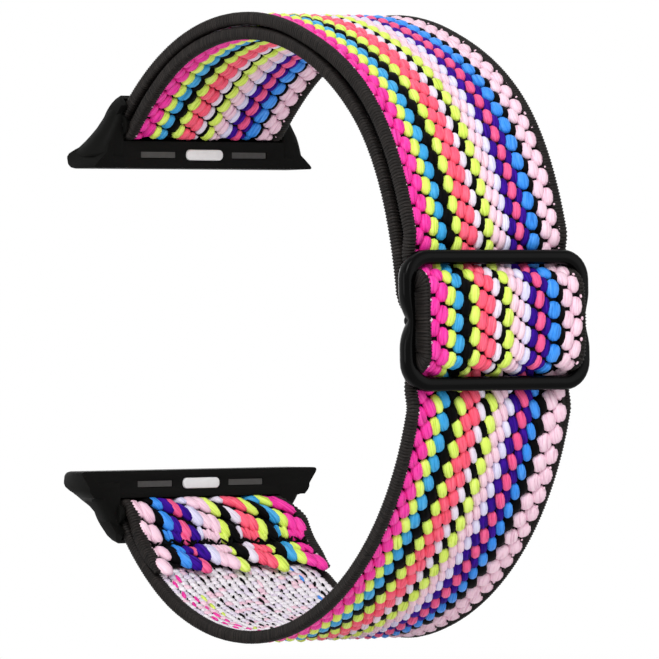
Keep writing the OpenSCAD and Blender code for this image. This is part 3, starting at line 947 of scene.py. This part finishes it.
def make_tail(paint):
    seam = TAIL - TAIL_SEAM
    top = MARKS["lower stub"]
    fold = MARKS["lower fold"]
    width = 2 * TAIL_HALF_W / len(TAIL_COLUMNS)
    cords = Strip("lower_turn_cords")
    cords.slab(-HALF_WEB, HALF_WEB, TAIL_GROUND, top, *GROUND_H, paint["ground"])
    for row in TAIL_ROWS:
        for column, name in enumerate(TAIL_COLUMNS):
            along = (row + TAIL_PHASE - TAIL_STEP * column) * TAIL_ROW
            if not TAIL_CORDS <= along < fold:
                continue
            across = (column + 0.5) * width - TAIL_HALF_W + jitter(0.06)
            tail_cord(cords, paint[name], across, along, seam)
        cords.end_row()
    woven_face(cords, fold, top, paint)
    knots(cords, TAIL_EDGES, top, paint)
    edges = edge_strip("lower_turn", TAIL_CORE, TAIL_EDGES, top, paint, TAIL_TAPER)
    for strip, node, slot in ((cords, "lower_fold", "band_web"), (edges, "lower_fold_edges", "band_edge")):
        piece = strip.lay()
        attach(piece, "band")
        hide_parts(node)
    stitch_rows(paint, seam)


# The tail's whole cords, and the ends of those that the seam cuts: how far the seam reaches, how far
# each end lies from it, how much of a cord's own place it keeps, and how its two strands spread.
TAIL_SIZE = Vector((0.68, 1.28, 0.68))
TAIL_VARY = (0.92, 1.08)
TAIL_H = 0.14
SEAM_REACH = 1.15
CUT_SIZE = (0.28, 0.8, 0.44)
CUT_H = 0.08
CUT_OFF = 1.0
CUT_KEEP = 0.35
CUT_APART = 0.2
CUT_SPREAD = 9
CUT_TILT = 12


def tail_cord(strip, material, across, along, seam):
    """One plump cord of the tail. A cord that lies over the seam is cut into two ends of two strands."""
    size = TAIL_SIZE * dice.uniform(*TAIL_VARY)
    off = along - seam
    if abs(off) > SEAM_REACH:
        strip.put(CORD, (across, along, TAIL_H), size, material, TAIL_LEAN + jitter(7), tilt=jitter(6))
        return
    for side in (-1, 1):
        at = Vector((across - side * CUT_APART, seam + side * CUT_OFF + CUT_KEEP * off, CUT_H))
        for part in (-1, 1):
            place = at + Vector((part * CUT_APART, jitter(0.15), 0))
            lean = TAIL_LEAN + part * side * CUT_SPREAD
            strip.put(CORD, place, CUT_SIZE, material, lean, tilt=side * CUT_TILT)


# The stitches of a seam, the strength of their painted highlights, where the slider's seam lies from the
# band's end, and both seams' heights.
STITCHES = 26
STITCH_SIZE = (0.15, 0.62, 0.12)
STITCH_LEAN = 38
STITCH_SHEEN_TONE = 0.5
SLIDER_SEAM = 3.2
SLIDER_SEAM_H = -0.62
TAIL_SEAM_H = 0.36


def stitch_rows(paint, seam):
    """The seams, in black thread, across the tail and across the sewn end in the slider."""
    rows = (("tail_seam", seam, TAIL_SEAM_H, "band", "tail_stitches"),
            ("slider_seam", LINE.length - SLIDER_SEAM, SLIDER_SEAM_H, "slider", "wrap_stitches"))
    for name, along, height, body, node in rows:
        strip = Strip(name)
        for i in range(STITCHES):
            across = -HALF_WEB + (i + 0.5) * 2 * HALF_WEB / STITCHES
            lean = STITCH_LEAN if i % 2 else -STITCH_LEAN
            at = (across, along + jitter(0.12), height)
            strip.put(KNOT, at, STITCH_SIZE, paint["black"], lean + jitter(12), STITCH_SHEEN_TONE)
        strip.end_row()
        piece = strip.lay()
        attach(piece, body)
        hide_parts(node)


# The slider's frame: a smooth ring between two outlines, drawn from the front in x and z. Each rail is
# waisted within LOBE of its middle.
CORNER_R = 3.0
WINDOW_R = 1.9
LOBE = 2.9
WAIST_FRONT = 0.5
WAIST_BACK = 1.1
BAR_STEPS = 7
CORNER_STEPS = 8
RAIL_STEPS = 12


def waist(z, depth):
    """How far a rail is waisted: a shallow dip in front, and a sharp one between two lobes behind."""
    near = max(0, 1 - abs(z) / LOBE)
    return mix(WAIST_FRONT * smooth(near), WAIST_BACK * near * near, depth)


def ring_quarter():
    """Pairs of an outer and an inner point, from the middle of an end bar to the middle of a rail."""
    outlines = ((WINDOW_HALF_W + RAIL_W, SLIDER_H / 2, CORNER_R), (WINDOW_HALF_W, WINDOW_HALF_H, WINDOW_R))
    pairs = []
    for i in range(BAR_STEPS):
        u = i / BAR_STEPS
        pairs.append([(u * (w - r), h) for w, h, r in outlines])
    for i in range(CORNER_STEPS + 1):
        a = math.radians(90 - 90 * i / CORNER_STEPS)
        pairs.append([(w - r * (1 - math.cos(a)), h - r * (1 - math.sin(a))) for w, h, r in outlines])
    for i in range(1, RAIL_STEPS + 1):
        u = 1 - i / RAIL_STEPS
        pairs.append([(w, u * (h - r)) for w, h, r in outlines])
    return pairs


def closed_ring():
    """The pairs all the way round the slider."""
    quarter = ring_quarter()
    right = quarter + [tuple((x, -z) for x, z in pair) for pair in reversed(quarter[:-1])]
    left = [tuple((-x, z) for x, z in pair) for pair in reversed(right[1:-1])]
    return right + left


# The ring's cross-section: its number of points, and how full its corners are.
SECTION = 14
SECTION_SQUARE = 0.6


def make_slider(material):
    """Sweeps the cross-section round the ring."""
    bm = bmesh.new()
    loops = []
    for (ox, oz), (ix, iz) in closed_ring():
        across = Vector((ox - ix, 0, oz - iz))
        middle = Vector(((ox + ix) / 2, -FRAME_MID, (oz + iz) / 2))
        half = across.length / 2
        across.normalize()
        made = bmesh.ops.create_circle(bm, segments=SECTION, radius=1.0)
        for vert in made["verts"]:
            a, b = [math.copysign(abs(c) ** SECTION_SQUARE, c) for c in vert.co.xy]
            pull = (1 + a) / 2 * waist(oz, (1 + b) / 2) if abs(ox) > WINDOW_HALF_W else 0
            vert.co = middle + across * a * half + Vector((-math.copysign(pull, ox), b * SLIDER_T / 2, 0))
        loops.append({e for v in made["verts"] for e in v.link_edges})
    for a, b in zip(loops, loops[1:] + loops[:1]):
        bmesh.ops.bridge_loops(bm, edges=list(a | b))
    bmesh.ops.recalc_face_normals(bm, faces=bm.faces)
    turn = Matrix.Rotation(math.radians(SLIDER_ANGLE - 180), 4, "X")
    bmesh.ops.transform(bm, matrix=Matrix.Translation(CENTRE) @ Matrix.Scale(MM, 4) @ turn, verts=bm.verts)
    piece = finish_mesh(bm, "slider_ring", [material], smooth_faces=True)
    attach(piece, "slider")
    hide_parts("slider_frame")


# A connector's solid ends, which fill the room beside the fold, with its bar on the X axis: each
# level's z from the tongue to the hood, the end's reach in x, and where it starts and stops in y.
CHEEK = (
    (-3.4, 13.85, -0.42, 4.9), (-2.9, 13.75, -0.42, 4.5), (-2.4, 13.5, -0.42, 3.9),
    (-1.7, 13.1, -0.42, 3.1), (-1.1, 12.75, -0.42, 2.6), (-0.3, 12.2, -0.41, 2.2),
    (0.6, 11.65, -0.38, 1.95), (1.3, 11.25, -0.28, 1.75), (1.9, 10.95, -0.1, 1.4), (2.35, 10.6, 0.15, 0.95))
CHEEK_IN = 10.2
CHEEK_R = 0.22
CHEEK_OVAL = 1.2

# The largest radius of an end's corner on the wrist's side, and its largest share of the end's depth.
CHEEK_ROUND = {"upper": 2.2, "lower": 0.9}
CHEEK_SHARE = 0.45

# How the ends slant in plan: at each level's z, their reach in x as the solids have it, and their reach
# on the wrist's side. Between the tongue's two faces the slant grows evenly.
ENDS = {
    "upper": ((-4.65, 14.1, 14.3), (-2.9, 14.1, 12.4), (-1.34, 12.3, 11.6),
              (0, 11.3, 11.0), (1.7, 11.3, 11.0)),
    "lower": ((-4.65, 14.1, 15.4), (-2.9, 14.1, 14.2), (-1.34, 12.3, 12.8),
              (0, 11.3, 12.0), (1.7, 11.3, 11.3))}
TONGUE_IN = -0.4
TONGUE_OUT = 5.1


def cheek(bm, side, bar, up, corner_r):
    """Fills a connector's end from the tongue to the hood, beside the fold."""
    loops = []
    for z, x_end, y_in, y_out in CHEEK:
        ring = []
        wrist_r = min(corner_r, CHEEK_SHARE * (y_out - y_in), x_end - CHEEK_IN - CHEEK_R)
        corners = ((x_end, y_out, -1, -1, CHEEK_R), (CHEEK_IN, y_out, 1, -1, CHEEK_R),
                   (CHEEK_IN, y_in, 1, 1, CHEEK_R), (x_end, y_in, -1, 1, wrist_r))
        for quarter, (x, y, x_way, y_way, r) in enumerate(corners):
            middle = Vector((x + x_way * r, y + y_way * CHEEK_OVAL * r))
            for turn in (0, 30, 60, 90):
                a = math.radians(90 * quarter + turn)
                corner = middle + Vector((math.cos(a), CHEEK_OVAL * math.sin(a))) * r
                ring.append(bm.verts.new(bar + Vector((side * corner.x, corner.y, up * z)) * MM))
        loops.append(ring)
    for a, b in zip(loops, loops[1:]):
        for i in range(len(a)):
            j = (i + 1) % len(a)
            bm.faces.new((a[i], a[j], b[j], b[i]))
    bm.faces.new(loops[0])
    bm.faces.new(loops[-1])


def reach(end, z, column):
    """An end's reach at a level, from one column of its table."""
    levels = [(level[0], level[column]) for level in ENDS[end]]
    for (z0, a), (z1, b) in zip(levels, levels[1:]):
        if z < z1:
            return mix(a, b, clamp((z - z0) / (z1 - z0)))
    return levels[-1][1]


def spread_ends(bm, bar, up, end):
    """Draws a connector's ends out on the wrist's side."""
    for vert in bm.verts:
        at = (vert.co - bar) / MM
        over = abs(at.x) - CHEEK_IN
        if over <= 0:
            continue
        z = up * at.z
        near = clamp((TONGUE_OUT - at.y) / (TONGUE_OUT - TONGUE_IN))
        was = reach(end, z, 1)
        wide = mix(was, reach(end, z, 2), near)
        vert.co.x = math.copysign(CHEEK_IN + over * (wide - CHEEK_IN) / (was - CHEEK_IN), at.x) * MM + bar.x


# Points closer than SAME, in metres, are joined. Faces that turn by less than FLAT are made one, edges
# sharper than SHARP are eased over a width in millimetres, and those over CRISP still look sharp.
SAME = 2e-6
FLAT = math.radians(2)
SHARP = math.radians(32)
CRISP = math.radians(38)
CONNECTOR_EASE = 0.16
PILL_EASE = 0.1


def eased_copy(node, name, width, material, bar=None, up=1):
    """A copy of a solid with its sharp edges eased. A connector's copy gets its ends as well."""
    bm = bmesh.new()
    bm.from_mesh(frame["nodes"][node].data)
    bmesh.ops.remove_doubles(bm, verts=bm.verts, dist=SAME)
    bmesh.ops.dissolve_limit(bm, angle_limit=FLAT, verts=bm.verts, edges=bm.edges)
    sharp = [e for e in bm.edges if len(e.link_faces) == 2 and e.calc_face_angle(0) > SHARP]
    bmesh.ops.bevel(bm, geom=sharp, offset=width * MM, offset_type="OFFSET", affect="EDGES", segments=2,
                    profile=0.5, material=-1, clamp_overlap=True)
    if bar is not None:
        end = "upper" if up > 0 else "lower"
        spread_ends(bm, bar, up, end)
        for side in (-1, 1):
            cheek(bm, side, bar, up, CHEEK_ROUND[end])
    bmesh.ops.recalc_face_normals(bm, faces=bm.faces)
    bmesh.ops.triangulate(bm, faces=bm.faces)
    piece = finish_mesh(bm, name, [material], smooth_faces=True)
    piece.data.set_sharp_from_angle(angle=CRISP)
    return piece


def dress(node, material):
    """Gives a solid its material."""
    piece = frame["nodes"][node]
    piece.data.materials.clear()
    piece.data.materials.append(material)


def make_connectors(paint):
    """Both connectors. Each latch spring gets a mesh of its own."""
    for end, bar, up in (("upper", UPPER_BAR, 1), ("lower", LOWER_BAR, -1)):
        place = CENTRE + bar * MM
        body = end + "_connector"
        piece = eased_copy(body, end + "_connector_body", CONNECTOR_EASE, paint["satin"], place, up)
        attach(piece, body)
        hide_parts(body)
        pill = eased_copy(end + "_latch_pill", end + "_latch_face", PILL_EASE, paint["latch"])
        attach(pill, end + "_latch")
        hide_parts(end + "_latch_pill")
        spring = end + "_latch_spring"
        for node, coated in ((end + "_pads", "pad"), (end + "_bar", "steel"), (spring, "steel")):
            dress(node, paint[coated])
        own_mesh(frame["nodes"][spring])


# Light and ground. Each lamp has a name, a place and a size in millimetres, and a power in watts.
LAMPS = (
    ("key", (-260, -300, 260), 220, 1.5), ("side", (-380, 20, 40), 220, 0.45),
    ("fill", (260, -380, 60), 320, 0.4), ("top", (0, 0, 380), 260, 0.35), ("back", (120, 380, 120), 300, 0.3))


def area_light(name, at, size, power):
    """A soft square lamp that faces the strap, placed from the loop's centre."""
    data = bpy.data.lights.new(name, "AREA")
    data.size = size * MM
    data.energy = power
    lamp = add_object(name, data)
    lamp.location = CENTRE + Vector(at) * MM
    lamp.rotation_euler = (-Vector(at)).to_track_quat("-Z", "Y").to_euler()


def shows_background(tree):
    """1 for a ray that shows what is behind the strap, straight or by way of a reflection."""
    path = tree.nodes.new("ShaderNodeLightPath")
    found = path.outputs["Is Camera Ray"]
    for name in ("Is Glossy Ray", "Is Transmission Ray"):
        either = tree.nodes.new("ShaderNodeMath")
        either.operation = "MAXIMUM"
        tree.links.new(found, either.inputs[0])
        tree.links.new(path.outputs[name], either.inputs[1])
        found = either.outputs[0]
    return found


# How much of the white background lights the strap.
AMBIENT = 0.32


def make_world():
    """White behind the strap and in reflections, and a softer light on it."""
    world = bpy.data.worlds.new("studio")
    bpy.context.scene.world = world
    world.use_nodes = True
    tree = world.node_tree
    background = tree.nodes["Background"]
    level = tree.nodes.new("ShaderNodeMapRange")
    level.inputs["To Min"].default_value = AMBIENT
    tree.links.new(shows_background(tree), level.inputs["Value"])
    tree.links.new(level.outputs[0], background.inputs["Strength"])
    background.inputs["Color"].default_value = (1, 1, 1, 1)


# How far the floor lies under the loop, which clears it when it swings down. In metres, how far the
# floor reaches, and where its glow grows from the shade under the strap to plain white.
FLOOR_DROP = 4.0
FLOOR_HALF_W = 3.0
FLOOR_GREY = (0.93, 0.93, 0.93, 1)
GLOW = {"From Min": 0.01, "From Max": 0.06, "To Min": 0.86, "To Max": 1.0}


def make_floor():
    """A wide white floor that keeps a faint shadow under the strap and is plain white farther off."""
    bm = bmesh.new()
    bmesh.ops.create_grid(bm, x_segments=1, y_segments=1, size=FLOOR_HALF_W)
    level = cad_box[0].z - FLOOR_DROP * MM
    bmesh.ops.translate(bm, vec=(0, 0, level), verts=bm.verts)
    shade = Shade("floor")
    shade.set(Base_Color=FLOOR_GREY, Roughness=0.9)
    place = shade.node("ShaderNodeTexCoord", output=3)
    apart = shade.node("ShaderNodeVectorMath", {"operation": "DISTANCE"},
                       {0: place, 1: (CENTRE.x, CENTRE.y, level)}, output=1)
    white = shade.node("ShaderNodeMapRange", sockets={"Value": apart, **GLOW})
    seen = Value(shade, shows_background(shade.tree))
    matt = Value(shade, shade.shader.outputs[0])
    glow = shade.node("ShaderNodeEmission")
    blend = shade.node("ShaderNodeMixShader", sockets={0: seen * white, 1: matt, 2: glow})
    shade.feed(shade.tree.nodes["Material Output"].inputs["Surface"], blend)
    finish_mesh(bm, "floor", [shade.material])


def main():
    scene = bpy.context.scene
    scene.view_settings.view_transform = "Standard"
    make_camera()
    paint = {name: yarn(name + " yarn", *codes) for name, codes in YARNS.items()}
    paint["edge"] = edge_yarn()
    paint.update(plain_coats())
    make_band(paint)
    make_tail(paint)
    make_slider(paint["gloss"])
    dress("slider_bar", paint["gloss"])
    make_connectors(paint)
    make_world()
    for lamp in LAMPS:
        area_light(*lamp)
    make_floor()


main()
